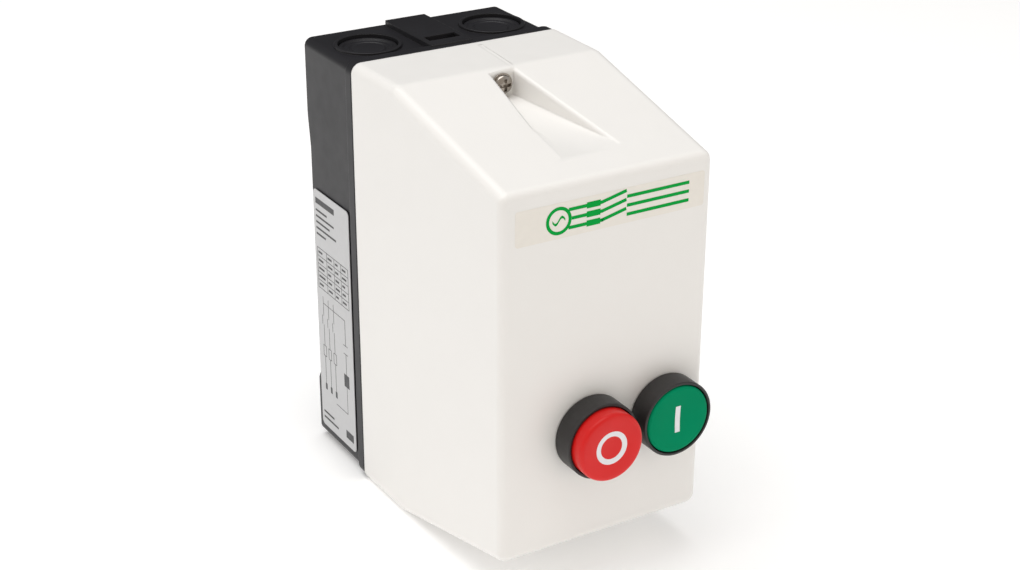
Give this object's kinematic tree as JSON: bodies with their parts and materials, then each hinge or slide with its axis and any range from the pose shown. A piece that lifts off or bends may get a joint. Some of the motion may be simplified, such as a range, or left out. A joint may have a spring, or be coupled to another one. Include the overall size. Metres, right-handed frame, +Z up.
{
  "type": "enclosed motor protection breaker",
  "caption": "Two-part plastic case with red stop and green start push buttons, holding a contactor and an overload relay; the cover is held by a screw in a top recess.",
  "frame": {"origin": "middle of the overall box in plan, on the plane that the case stands on", "axes": "+X to the right seen from the front, +Y from the front towards the wall, +Z up"},
  "size_m": [0.082, 0.147, 0.1594],
  "materials": {
    "black_case": "fine-grained satin black moulding",
    "white_cover": "satin warm white moulding",
    "red_cap": "satin red moulding",
    "green_cap": "satin green moulding",
    "bezel": "satin dark moulding",
    "grey_moulding": "matte grey moulding",
    "dark_moulding": "matte dark moulding",
    "nylon": "natural nylon",
    "steel": "zinc-plated",
    "core_steel": "stacked sheet",
    "brass": "bright",
    "copper": "bright copper alloy",
    "rubber": "matte black",
    "label_film": "silver-grey printed film",
    "clear_film": "clear film with a printed sign"
  },
  "bodies": {
    "enclosure": {"rear_box": "black_case", "knockout_top_left": "black_case", "knockout_top_right": "black_case", "knockout_bottom_left": "black_case", "knockout_bottom_right": "black_case", "cover_nut": "steel", "mounting_rail": "steel", "rail_screw_left": "steel", "rail_screw_right": "steel", "earth_terminal": "brass", "earth_screw": "steel", "rating_label": "label_film", "contactor_rear": "dark_moulding", "contactor_front": "grey_moulding", "magnet_core": "core_steel", "coil_bobbin": "nylon", "coil_winding": "copper", "line_terminal_1": "brass", "line_terminal_2": "brass", "line_terminal_3": "brass", "load_terminal_1": "brass", "load_terminal_2": "brass", "load_terminal_3": "brass", "line_screw_1": "steel", "line_screw_2": "steel", "line_screw_3": "steel", "relay_case": "dark_moulding", "relay_front": "grey_moulding", "heater_1": "copper", "heater_2": "copper", "heater_3": "copper", "link_pin_1": "copper", "link_pin_2": "copper", "link_pin_3": "copper", "start_contact_block": "dark_moulding"},
    "armature": {"moving_core": "core_steel", "contact_carrier": "dark_moulding", "contact_bridge_1": "copper", "contact_bridge_2": "copper", "contact_bridge_3": "copper", "return_spring_left": "steel", "return_spring_right": "steel"},
    "reset": {"reset_plunger": "red_cap"},
    "dial": {"current_dial": "nylon"},
    "start_pusher": {"start_plunger": "green_cap"},
    "cover": {"front_cover": "white_cover", "cover_seal": "rubber", "front_label": "clear_film", "stop_bezel": "bezel", "start_bezel": "bezel", "stop_locknut": "dark_moulding", "start_locknut": "dark_moulding"},
    "cover_screw": {"cover_screw": "steel"},
    "stop_button": {"stop_cap": "red_cap", "stop_stem": "nylon", "stop_spring": "steel"},
    "start_button": {"start_cap": "green_cap", "start_stem": "nylon", "start_spring": "steel"}
  },
  "joints": [
    {"name": "cover_tilt", "type": "hinge", "parent": "enclosure", "child": "cover", "pos_m": [0, 0.03413, 0], "axis": [1, 0, 0], "range_deg": [0, 75]},
    {"name": "cover_screw_turn", "type": "hinge", "parent": "cover", "child": "cover_screw", "pos_m": [-0.0008, 0.0041, 0.154], "axis": [0, 1, 0], "continuous": true},
    {"name": "stop_press", "type": "slide", "parent": "cover", "child": "stop_button", "axis": [0, 1, 0], "range_m": [0, 0.004], "stiffness_N_per_m": 900, "springref_m": -0.003, "deforming": ["stop_spring"]},
    {"name": "start_press", "type": "slide", "parent": "cover", "child": "start_button", "axis": [0, 1, 0], "range_m": [0, 0.0035], "stiffness_N_per_m": 900, "springref_m": -0.003, "deforming": ["start_spring"]},
    {"name": "contactor_pull", "type": "slide", "parent": "enclosure", "child": "armature", "axis": [0, 1, 0], "range_m": [0, 0.0026], "stiffness_N_per_m": 1200, "springref_m": -0.003, "deforming": ["return_spring_left", "return_spring_right"]},
    {"name": "dial_turn", "type": "hinge", "parent": "enclosure", "child": "dial", "pos_m": [-0.022, -0.0007, 0.066], "axis": [0, 1, 0], "range_deg": [-120, 120]},
    {"name": "reset_slide", "type": "slide", "parent": "enclosure", "child": "reset", "axis": [0, 1, 0], "range_m": [0, 0.004], "stiffness_N_per_m": 200, "springref_m": -0.002},
    {"name": "start_pusher_slide", "type": "slide", "parent": "enclosure", "child": "start_pusher", "axis": [0, 1, 0], "range_m": [0, 0.0035], "stiffness_N_per_m": 200, "springref_m": -0.002}
  ],
  "couplings": [
    {"joint": "reset_slide", "follows": "stop_press", "ratio": 1},
    {"joint": "start_pusher_slide", "follows": "start_press", "ratio": 1}
  ]
}
